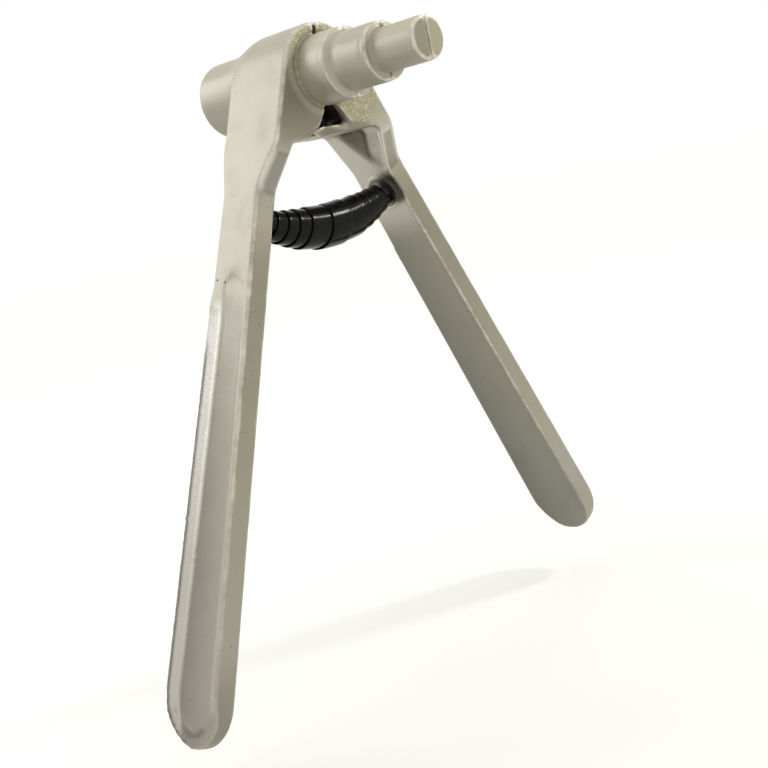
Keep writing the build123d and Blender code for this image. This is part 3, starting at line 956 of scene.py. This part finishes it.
# %% [markdown]
# ## Finishes
#
# Three effects make up the finishes: a mottled, grainy cast skin, wear with a painted highlight on what
# sticks out, and soil with painted shade in the corners. Each could be drawn anew in every material. Here
# each is a node group, built once, that puts out masks or heights, and a material places it with its own
# sizes.


# %% Group helpers
def new_group(name, inputs, outputs):
    """An empty node group with named number inputs and outputs: its tree, its inputs, its end."""
    group = bpy.data.node_groups.new(name, "ShaderNodeTree")
    for label, value in inputs.items():
        socket = group.interface.new_socket(label, in_out="INPUT", socket_type="NodeSocketFloat")
        socket.default_value = value
    for label in outputs:
        group.interface.new_socket(label, in_out="OUTPUT", socket_type="NodeSocketFloat")
    start = group.nodes.new("NodeGroupInput")
    end = group.nodes.new("NodeGroupOutput")
    return group, start.outputs, end.inputs


def use_group(tree, group, **values):
    """Place a node group in a tree, with its own values, and return its outputs."""
    node = tree.nodes.new("ShaderNodeGroup")
    node.node_tree = group
    for label, value in values.items():
        node.inputs[label.replace("_", " ").title()].default_value = value
    return node.outputs


def noise_of_size(tree, place, size, detail):
    """A cloudy noise with patches of a size that a socket gives."""
    scale = maths(tree, "DIVIDE", 1.0, size)
    inputs = {"Vector": place, "Scale": scale, "Detail": detail}
    return add_node(tree, "ShaderNodeTexNoise", inputs).outputs["Fac"]


print("node groups so far:", len(bpy.data.node_groups))

# %% [markdown]
# The skin of a casting is mottled in slow patches, dimpled by the grains of the mould's sand, and in
# places it glitters with grit. A picture of such a skin would show seams. Noise and cells that are worked
# out from a point's place in the piece have none, and their sizes stay true on every face.

# %% Cast skin
SKIN_SIZES = {"Mottle Size": 9 * MM, "Grain Size": 0.9 * MM, "Grit Size": 0.28 * MM}
MOTTLE_DETAIL = 4.0
MOTTLE_RANGE = (0.3, 0.7)
GRAIN_DETAIL = 3.0
DIMPLE_SOFTNESS = 0.6
DIMPLE_SHARE = 0.5


def cast_skin_group():
    """Slow mottling, a grain of dimples and fine sparkling grit."""
    group, given, out = new_group("cast_skin", SKIN_SIZES, ("Mottle", "Grain", "Grit"))
    place = object_place(group)
    mottle = noise_of_size(group, place, given["Mottle Size"], MOTTLE_DETAIL)
    group.links.new(stretch(group, mottle, *MOTTLE_RANGE), out["Mottle"])
    fine = noise_of_size(group, place, given["Grain Size"], GRAIN_DETAIL)
    scale = maths(group, "DIVIDE", 1.0, given["Grain Size"])
    round_cells = {"Vector": place, "Scale": scale, "Smoothness": DIMPLE_SOFTNESS}
    dimples = add_node(group, "ShaderNodeTexVoronoi", round_cells, feature="SMOOTH_F1")
    depth = maths(group, "MULTIPLY", dimples.outputs["Distance"], DIMPLE_SHARE)
    group.links.new(maths(group, "ADD", fine, depth), out["Grain"])
    scale = maths(group, "DIVIDE", 1.0, given["Grit Size"])
    grit = add_node(group, "ShaderNodeTexVoronoi", {"Vector": place, "Scale": scale})
    bright = add_node(group, "ShaderNodeSeparateColor", {"Color": grit.outputs["Color"]})
    group.links.new(bright.outputs["Red"], out["Grit"])
    return group


cast_skin = cast_skin_group()
print("cast skin:", len(cast_skin.nodes), "nodes")

# %% [markdown]
# A coat wears off where a casting sticks out, and there it also gets a painted highlight; where it lies
# deep it gets soil and painted shade. The numbers for edges and corners that are stored in the skin say
# where. Used as they are, they would look printed, so a noise breaks each of them up into patches.

# %% Wear and highlight, soil and shade groups
EDGE_LIMITS = {"Start": 0.29, "End": 0.55, "Patch Size": 2.5 * MM}
CORNER_LIMITS = {"Start": 0.08, "End": 0.7, "Patch Size": 4.0 * MM}
NOISE_MIDDLE = 0.5


def patchy_group(name, mark, limits, detail, unevenness):
    """A broken-up mask, made from one of the numbers stored in the skin."""
    group, given, out = new_group(name, limits, ("Mask",))
    patches = noise_of_size(group, object_place(group), given["Patch Size"], detail)
    uneven = maths(group, "SUBTRACT", patches, NOISE_MIDDLE)
    uneven = maths(group, "MULTIPLY", uneven, unevenness)
    height = maths(group, "ADD", attribute(group, mark), uneven)
    group.links.new(stretch(group, height, given["Start"], given["End"]), out["Mask"])
    return group


edge_wear_and_highlight = patchy_group("edge_wear_and_highlight", "edge", EDGE_LIMITS, detail=4.0, unevenness=0.22)
corner_dirt_and_shade = patchy_group("corner_dirt_and_shade", "corner", CORNER_LIMITS, detail=3.0, unevenness=0.3)
print("node groups:", [group.name for group in bpy.data.node_groups])

# %% [markdown]
# A few pinholes from the casting and hair-thin scuffs across the grips break the coat up. They could be
# modelled, but they're finer than the cells of the skin. So they are masks: pinholes are the middles of
# a few chosen cells, painted dark as the shade inside a hole, and scuffs are the thin lines where a
# stretched noise passes its middle value.

# %% Small flaws
PINHOLE_SPACING = 2.2 * MM
PINHOLE_SIZE = (0.06, 0.11)
PINHOLE_CHOICE = (0.87, 0.89)
SCUFF_STRETCH = (60.0, 60.0, 320.0)
SCUFF_WIDTH = 0.007
SCUFF_PATCH = 4.0 * MM
SCUFF_CHOICE = (0.60, 0.68)


def small_flaws(tree):
    """Masks of a few pinholes in the casting and of hair-thin scuffs across it."""
    place = object_place(tree)
    spacing = {"Vector": place, "Scale": 1 / PINHOLE_SPACING}
    cells = add_node(tree, "ShaderNodeTexVoronoi", spacing).outputs
    chosen = add_node(tree, "ShaderNodeSeparateColor", {"Color": cells["Color"]}).outputs["Red"]
    small = maths(tree, "SUBTRACT", 1.0, stretch(tree, cells["Distance"], *PINHOLE_SIZE))
    pinholes = maths(tree, "MULTIPLY", small, stretch(tree, chosen, *PINHOLE_CHOICE))
    mapping = add_node(tree, "ShaderNodeMapping", {"Vector": place, "Scale": SCUFF_STRETCH})
    streaks = {"Vector": mapping.outputs["Vector"], "Detail": 1.0, "Scale": 1.0}
    lines = add_node(tree, "ShaderNodeTexNoise", streaks).outputs["Fac"]
    off_line = maths(tree, "ABSOLUTE", maths(tree, "SUBTRACT", lines, NOISE_MIDDLE))
    thin = maths(tree, "SUBTRACT", 1.0, stretch(tree, off_line, 0.0, SCUFF_WIDTH))
    patchy = {"Vector": place, "Detail": 2.0, "Scale": 1 / SCUFF_PATCH}
    patches = add_node(tree, "ShaderNodeTexNoise", patchy).outputs["Fac"]
    scuffs = maths(tree, "MULTIPLY", thin, stretch(tree, patches, *SCUFF_CHOICE))
    return pinholes, scuffs


print("cells for pinholes:", PINHOLE_SPACING / MM, "mm, patches of scuffs:", SCUFF_PATCH / MM, "mm")

# %% [markdown]
# On the grips and the head the coat wears through on edges, which also get a painted highlight, and the
# ridge gets a painted highlight; both are weaker towards the end of the grip. Corners get soil and
# painted shade, the pocket painted shade, and most goes where both meet. One mask for each would be too
# even, so the patchy groups are weighed against the stored marks.

# %% Wear and highlight, soil and shade
WORN_AND_LIT_SHARE = 0.7
WORN_AND_LIT_LESS = -0.45
CORNER_SHARE = 0.55
POCKET_SHADE_SHARE = 0.55
POCKET_CORNER_SHADE = 0.4


def worn_and_lit_share(tree):
    """Where edges wear through and get a painted highlight, and the ridge gets one, less towards the end
    of the grip.
    """
    worn_and_lit = maths(tree, "MAXIMUM", use_group(tree, edge_wear_and_highlight)["Mask"], attribute(tree, "ridge"))
    share = maths(tree, "MULTIPLY_ADD", attribute(tree, "grip"), WORN_AND_LIT_LESS, WORN_AND_LIT_SHARE)
    return maths(tree, "MULTIPLY", worn_and_lit, share)


def dirt_and_shade_share(tree):
    """Where soil and painted shade sit in corners, painted shade in the pocket, and most in the pocket's
    corners.
    """
    dirty_and_shaded = use_group(tree, corner_dirt_and_shade)["Mask"]
    pocket = attribute(tree, "pocket")
    dirt_and_shade = maths(tree, "MULTIPLY", pocket, POCKET_SHADE_SHARE)
    dirt_and_shade = maths(tree, "MULTIPLY_ADD", dirty_and_shaded, CORNER_SHARE, dirt_and_shade)
    both = maths(tree, "MULTIPLY", pocket, dirty_and_shaded)
    return maths(tree, "MULTIPLY_ADD", both, POCKET_CORNER_SHADE, dirt_and_shade)


print("worn metal shows up to", WORN_AND_LIT_SHARE, "and at the end up to", round(WORN_AND_LIT_SHARE + WORN_AND_LIT_LESS, 2))

# %% [markdown]
# The coat is a warm grey, a little darker and lighter in slow patches. Over it go real marks, and
# painted light and shade. The marks could be mixed into one mask, but each has a colour of its own. So
# they are painted over the coat one by one, in a fixed order, each up to a share that lets some of
# what lies under it show.

# %% Coat colours
COAT = (0.50, 0.46, 0.36, 1)
COAT_PALE = (0.56, 0.525, 0.42, 1)
# Pale colour for wear on edges, for painted highlights and for painted light.
PALE_WEAR_AND_LIGHT = (0.84, 0.81, 0.72, 1)
# Painted light towards the end of the grip.
GRIP_END_LIGHT = (0.52, 0.495, 0.445, 1)
# Dark colour for soil and painted shade in corners, painted shade in the pocket and on the rear rim, and
# for scuffs.
DARK_DIRT_AND_SHADE = (0.10, 0.09, 0.07, 1)
# Painted light: the rear bevel's pale colour and its painted sparkle.
LIT_BEVEL = (0.66, 0.635, 0.57, 1)
LIT_BEVEL_GLINT = (0.86, 0.84, 0.78, 1)
BLASTED = (0.45, 0.42, 0.28, 1)
# The glint colours are painted sparkle highlights on grit.
BLASTED_GLINT = (0.74, 0.72, 0.52, 1)
BARE = (0.52, 0.49, 0.34, 1)
# Painted shade colours for the front faces, the panel and the inner faces.
FRONT_SHADE = (0.24, 0.232, 0.155, 1)
PANEL_SHADE = (0.23, 0.205, 0.165, 1)
INNER_SHADE = (0.195, 0.19, 0.16, 1)
# Painted shadow of the spring beside its seats.
SEAT_SHADOW = (0.035, 0.033, 0.030, 1)
# Painted shade in the hinge and the split.
GAP_SHADE = (0.012, 0.010, 0.008, 1)
# Painted shade inside holes.
HOLE_SHADE = (0.03, 0.025, 0.02, 1)
MARK_SHARES = {
    "grip": 0.7,
    "bare": 1.0,
    "lit_bevel": 0.9,
    "panel": 0.82,
    "inner": 0.88,
    "pale": 0.9,
    "front": 0.55,
    "blasted": 1.0,
    "rim": 0.8,
    "seat_shadow": 0.95,
    "gap_shade": 0.95,
    "scuffs": 0.35,
    "pinholes": 0.8,
}
BLOTCH = 0.3
HOLE_SHADE_EDGE = (0.1, 0.6)


def paint(tree, colour, mark, second, mask=None):
    """A colour with a mark painted over it: by its mask, or else by what the skin stores for it."""
    if mask is None:
        mask = attribute(tree, mark)
    return blend_colours(tree, maths(tree, "MULTIPLY", mask, MARK_SHARES[mark]), colour, second)


def coat_colour(tree, mottle, glint, worn_and_lit):
    """The coat's own colour, with all its marks painted over it."""
    colour = blend_colours(tree, mottle, COAT, COAT_PALE)
    layers = {
        # Painted light towards the end of the grip.
        "grip": GRIP_END_LIGHT,
        "bare": BARE,
        # Painted light on the rear bevel, with a painted sparkle.
        "lit_bevel": blend_colours(tree, glint, LIT_BEVEL, LIT_BEVEL_GLINT),
        # Painted shade in the panel.
        "panel": PANEL_SHADE,
        # Painted shade on the inner faces.
        "inner": INNER_SHADE,
        # Painted light on the pale faces.
        "pale": PALE_WEAR_AND_LIGHT,
        # Painted shade on the front faces.
        "front": FRONT_SHADE,
        # Blasted metal, with a painted sparkle highlight on its grit.
        "blasted": blend_colours(tree, glint, BLASTED, BLASTED_GLINT),
    }
    for mark, second in layers.items():
        colour = paint(tree, colour, mark, second)
    # Wear on edges with a painted highlight, and the painted highlight on the ridge.
    colour = blend_colours(tree, worn_and_lit, colour, PALE_WEAR_AND_LIGHT)
    # Painted shade along the rear rim.
    colour = paint(tree, colour, "rim", DARK_DIRT_AND_SHADE)
    # Soil and painted shade in the corners, and painted shade in the pocket.
    colour = blend_colours(tree, dirt_and_shade_share(tree), colour, DARK_DIRT_AND_SHADE)
    # Painted shadow of the spring beside its seats, broken up by the mottling.
    blotch = maths(tree, "MULTIPLY_ADD", mottle, BLOTCH, -BLOTCH / 2)
    seat_shadow = stretch(tree, maths(tree, "ADD", attribute(tree, "seat_shadow"), blotch), 0.0, 1.0)
    colour = paint(tree, colour, "seat_shadow", SEAT_SHADOW, seat_shadow)
    # Painted shade in the hinge and the split.
    colour = paint(tree, colour, "gap_shade", GAP_SHADE)
    pinholes, scuffs = small_flaws(tree)
    colour = paint(tree, colour, "scuffs", DARK_DIRT_AND_SHADE, scuffs)
    # Pinholes and blow holes are painted dark, as painted shade inside them.
    colour = paint(tree, colour, "pinholes", HOLE_SHADE, pinholes)
    hole = stretch(tree, attribute(tree, "hole"), *HOLE_SHADE_EDGE)
    return blend_colours(tree, hole, colour, HOLE_SHADE)


print("marks to paint:", len(MARK_SHARES))

# %% [markdown]
# The finished coat is satin, with a metallic sheen that is stronger where the metal is bare. It could be
# plain paint, but then the bevels wouldn't shine. The mottling makes the gloss uneven, and a fine bump
# from the grain, with coarser pits where the metal is blasted and on the rear bevel of the grip, gives
# the feel of a casting.

# %% Cast coat
COARSE_GRAIN = 0.6 * MM
COARSE_GRIT = 0.30 * MM
GLINT = (0.45, 1.0)
SHEEN = (0.10, 0.40)
BLASTED_DULL = 0.15
METAL = (0.6, 0.38)
PITS = 0.9
COAT_BUMP = {"Strength": 0.5, "Distance": 0.06 * MM}


def add_bump(tree, shader, height, amount):
    """Let light fall on a surface as if it had this height."""
    bump = add_node(tree, "ShaderNodeBump", {"Height": height, **amount})
    tree.links.new(bump.outputs["Normal"], shader.inputs["Normal"])


def cast_coat():
    """The satin coat of the castings."""
    material, tree, shader = new_material("cast_coat")
    skin = use_group(tree, cast_skin)
    coarse = use_group(tree, cast_skin, grain_size=COARSE_GRAIN, grit_size=COARSE_GRIT)
    # glint: grit cells stretched into a painted sparkle highlight
    glint = stretch(tree, coarse["Grit"], *GLINT)
    worn_and_lit = worn_and_lit_share(tree)
    colour = coat_colour(tree, skin["Mottle"], glint, worn_and_lit)
    blasted = attribute(tree, "blasted")
    sheen = maths(tree, "MULTIPLY_ADD", skin["Mottle"], *SHEEN)
    rough = maths(tree, "MULTIPLY_ADD", blasted, BLASTED_DULL, sheen)
    tree.links.new(colour, shader.inputs["Base Color"])
    tree.links.new(rough, shader.inputs["Roughness"])
    tree.links.new(maths(tree, "MULTIPLY_ADD", worn_and_lit, *METAL), shader.inputs["Metallic"])
    pitted = maths(tree, "MAXIMUM", blasted, attribute(tree, "lit_bevel"))
    pitted = maths(tree, "MULTIPLY", pitted, coarse["Grit"])
    add_bump(tree, shader, maths(tree, "MULTIPLY_ADD", pitted, PITS, skin["Grain"]), COAT_BUMP)
    return material


coat = cast_coat()
for piece in castings.values():
    piece.data.materials.append(coat)
print("coat:", len(coat.node_tree.nodes), "nodes")

# %% [markdown]
# ## The spring
#
# The spring is one flat strip, wound like two snail shells set mouth to mouth: its widest turn is in
# the middle and each next turn is a little smaller and slides inside the one before it. Its line is
# bowed, so that both ends stand square on the handles. A curve with a bevel could follow that path,
# but its strip would twist. The shape is a rule, so it is made by Geometry Nodes: a flat grid is laid
# along the turns and round the strip's section, and each of its points is put in its place by
# arithmetic. All sizes are named inputs.

# %% Rule of the spring
SPRING_DEPTH = 13.0 * MM
SPRING_SIZES = {
    "Turns": 5.0,
    "Phase": 0.42,
    "Strip Width": 7.80 * MM,
    "Strip Thickness": 0.46 * MM,
    "Largest Radius": 6.45 * MM,
    "Radius Step": 0.56 * MM,
    "Wide Pitch": 7.48 * MM,
    "Narrow Pitch": 3.712 * MM,
    "Bow Radius": 62.905 * MM,
    "Bow Height": 20.116 * MM,
    "Depth": SPRING_DEPTH,
    "Squareness": 0.3,
    "End Length": 0.02,
}
FULL_TURN = 2 * math.pi


def spring_points(tree, given):
    """The place of each point of a flat grid, laid along the turns of the spring."""
    position = tree.nodes.new("GeometryNodeInputPosition").outputs[0]
    place = add_node(tree, "ShaderNodeSeparateXYZ", {0: position}).outputs

    def step(operation, *values):
        return maths(tree, operation, *values)

    # Along the strip: turns from the middle, from minus to plus the full number
    turn = step("MULTIPLY", step("MULTIPLY", place["X"], 2.0), given["Turns"])
    size = step("ABSOLUTE", turn)
    near = step("MULTIPLY", step("MINIMUM", size, 1.0), given["Wide Pitch"])
    far = step("MAXIMUM", step("SUBTRACT", size, 1.0), 0.0)
    far = step("MULTIPLY", far, given["Narrow Pitch"])
    reach = step("MULTIPLY", step("ADD", near, far), step("SIGN", turn))
    # Round the section: a rectangle with soft corners, which closes at both ends of the strip
    left = step("DIVIDE", step("SUBTRACT", given["Turns"], size), given["End Length"])
    share = step("POWER", step("MINIMUM", step("MAXIMUM", left, 0.0), 1.0), 0.5)
    angle = step("MULTIPLY", place["Y"], FULL_TURN)
    offsets = []
    for shape, width in (("COSINE", "Strip Width"), ("SINE", "Strip Thickness")):
        wave = step(shape, angle)
        corner = step("POWER", step("ABSOLUTE", wave), given["Squareness"])
        corner = step("MULTIPLY", corner, step("SIGN", wave))
        half = step("MULTIPLY", given[width], 0.5)
        offsets.append(step("MULTIPLY", step("MULTIPLY", corner, half), share))
    along, out = offsets
    # Into place: round the bowed line of the spring
    bow = step("DIVIDE", step("ADD", reach, along), given["Bow Radius"])
    radius = step("MULTIPLY", given["Radius Step"], size)
    radius = step("ADD", step("SUBTRACT", given["Largest Radius"], radius), out)
    spin = step("MULTIPLY", step("ADD", turn, given["Phase"]), FULL_TURN)
    drop = step("ADD", given["Bow Radius"], step("MULTIPLY", radius, step("SINE", spin)))
    spot = {
        "X": step("MULTIPLY", drop, step("SINE", bow)),
        "Y": step("ADD", given["Depth"], step("MULTIPLY", radius, step("COSINE", spin))),
        "Z": step("SUBTRACT", given["Bow Height"], step("MULTIPLY", drop, step("COSINE", bow))),
    }
    return add_node(tree, "ShaderNodeCombineXYZ", spot).outputs[0]


print("spring:", SPRING_SIZES["Turns"], "turns to each side, from", len(SPRING_SIZES), "sizes")

# %% [markdown]
# The tree round that rule is one chain. The grid's points are moved into place, the long edges that meet
# are joined into a closed strip, its shading is made smooth, and it gets its finish. A chain of modifiers
# could do some of this, but the sizes would then lie in many places.

# %% Tree of the spring
SPRING_COLUMNS = 1201
SPRING_ROWS = 25
SPRING_JOIN = 0.01 * MM


def spring_tree(sizes):
    """The geometry tree of the spring, with its sizes and its material as named inputs."""
    tree = bpy.data.node_groups.new("double_volute_spring", "GeometryNodeTree")
    tree.interface.new_socket("Geometry", in_out="OUTPUT", socket_type="NodeSocketGeometry")
    for label in sizes:
        tree.interface.new_socket(label, in_out="INPUT", socket_type="NodeSocketFloat")
    tree.interface.new_socket("Material", in_out="INPUT", socket_type="NodeSocketMaterial")
    given = tree.nodes.new("NodeGroupInput").outputs
    counts = {"Vertices X": SPRING_COLUMNS, "Vertices Y": SPRING_ROWS}
    chain = (
        add_node(tree, "GeometryNodeMeshGrid", counts),
        add_node(tree, "GeometryNodeSetPosition", {"Position": spring_points(tree, given)}),
        add_node(tree, "GeometryNodeMergeByDistance", {"Distance": SPRING_JOIN}),
        add_node(tree, "GeometryNodeSetShadeSmooth"),
        add_node(tree, "GeometryNodeRealizeInstances"),
        add_node(tree, "GeometryNodeSetMaterial", {"Material": given["Material"]}),
        add_node(tree, "NodeGroupOutput"),
    )
    for before, after in zip(chain, chain[1:]):
        tree.links.new(before.outputs[0], after.inputs[0])
    return tree


rule = spring_tree(SPRING_SIZES)
print("spring tree:", len(rule.nodes), "nodes")

# %% [markdown]
# The strip is hardened and blacked in oil, so it is nearly black with a narrow gloss. The same cast
# skin group gives its sheen a slight unevenness, with smaller patches. Black paint would be one colour
# and one gloss, which looks like plastic.

# %% Black strip
STRIP_BLACK = (0.006, 0.006, 0.006, 1)
STRIP_WORN = (0.011, 0.0105, 0.010, 1)
STRIP_SHEEN = (0.08, 0.10)
STRIP_GLOSS = 0.12
STRIP_MOTTLE = 4.0 * MM
STRIP_GRAIN = 0.5 * MM
FINE_BUMP = {"Strength": 0.3, "Distance": 0.02 * MM}


def black_strip():
    """Hardened strip, blacked in oil: dark and glossy, with a slightly uneven sheen."""
    material, tree, shader = new_material("black_strip")
    skin = use_group(tree, cast_skin, mottle_size=STRIP_MOTTLE, grain_size=STRIP_GRAIN)
    colour = blend_colours(tree, skin["Mottle"], STRIP_BLACK, STRIP_WORN)
    rough = maths(tree, "MULTIPLY_ADD", skin["Mottle"], *STRIP_SHEEN)
    tree.links.new(colour, shader.inputs["Base Color"])
    tree.links.new(rough, shader.inputs["Roughness"])
    shader.inputs["Specular IOR Level"].default_value = STRIP_GLOSS
    add_bump(tree, shader, skin["Grain"], FINE_BUMP)
    return material


strip = black_strip()
print("strip finish:", strip.name)

# %% [markdown]
# The tree is run once and its result becomes a plain mesh, because only plain meshes bend and travel
# with the model. It takes the place of the CAD spring.


def wound_spring(name, tree, material):
    """A spring made by the geometry tree, as a plain mesh."""
    piece = bpy.data.objects.new(name, bpy.data.meshes.new(name))
    scene.collection.objects.link(piece)
    winding = piece.modifiers.new("rule", "NODES")
    winding.node_group = tree
    inputs = {**SPRING_SIZES, "Material": material}
    for socket in tree.interface.items_tree:
        if socket.in_out == "INPUT":
            winding[socket.identifier] = inputs[socket.name]
    evaluated = piece.evaluated_get(bpy.context.evaluated_depsgraph_get())
    mesh = bpy.data.meshes.new_from_object(evaluated)
    piece.modifiers.clear()
    piece.data = mesh
    shell = bmesh.new()
    shell.from_mesh(mesh)
    bmesh.ops.recalc_face_normals(shell, faces=shell.faces)
    open_edges = sum(not edge.is_manifold for edge in shell.edges)
    shell.to_mesh(mesh)
    shell.free()
    print(name, len(mesh.polygons), "faces, open edges:", open_edges)
    return piece


spring = wound_spring("wound_spring", rule, strip)
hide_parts("return_spring")
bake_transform(spring)

# %% [markdown]
# ## The hinge pin
#
# The pin is a plain piece of drawn steel, hidden in its knuckles but for its ends. Its CAD mesh is
# right as it is, so only its finish is new: bright metal under a thin film of oil and dust.

# %% Pin steel
PIN_DARK = (0.22, 0.21, 0.20, 1)
PIN_BRIGHT = (0.42, 0.41, 0.40, 1)
PIN_SHEEN = (0.15, 0.28)
PIN_MOTTLE = 3.0 * MM
PIN_GRAIN = 0.4 * MM


def oiled_pin():
    """Drawn steel, with a thin film of oil and dust."""
    material, tree, shader = new_material("oiled_pin")
    skin = use_group(tree, cast_skin, mottle_size=PIN_MOTTLE, grain_size=PIN_GRAIN)
    colour = blend_colours(tree, skin["Mottle"], PIN_DARK, PIN_BRIGHT)
    rough = maths(tree, "MULTIPLY_ADD", skin["Mottle"], *PIN_SHEEN)
    tree.links.new(colour, shader.inputs["Base Color"])
    tree.links.new(rough, shader.inputs["Roughness"])
    shader.inputs["Metallic"].default_value = 1.0
    add_bump(tree, shader, skin["Grain"], FINE_BUMP)
    return material


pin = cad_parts["hinge_pin"]
pin.data.materials.clear()
pin.data.materials.append(oiled_pin())
print("pin finish:", pin.data.materials[0].name)
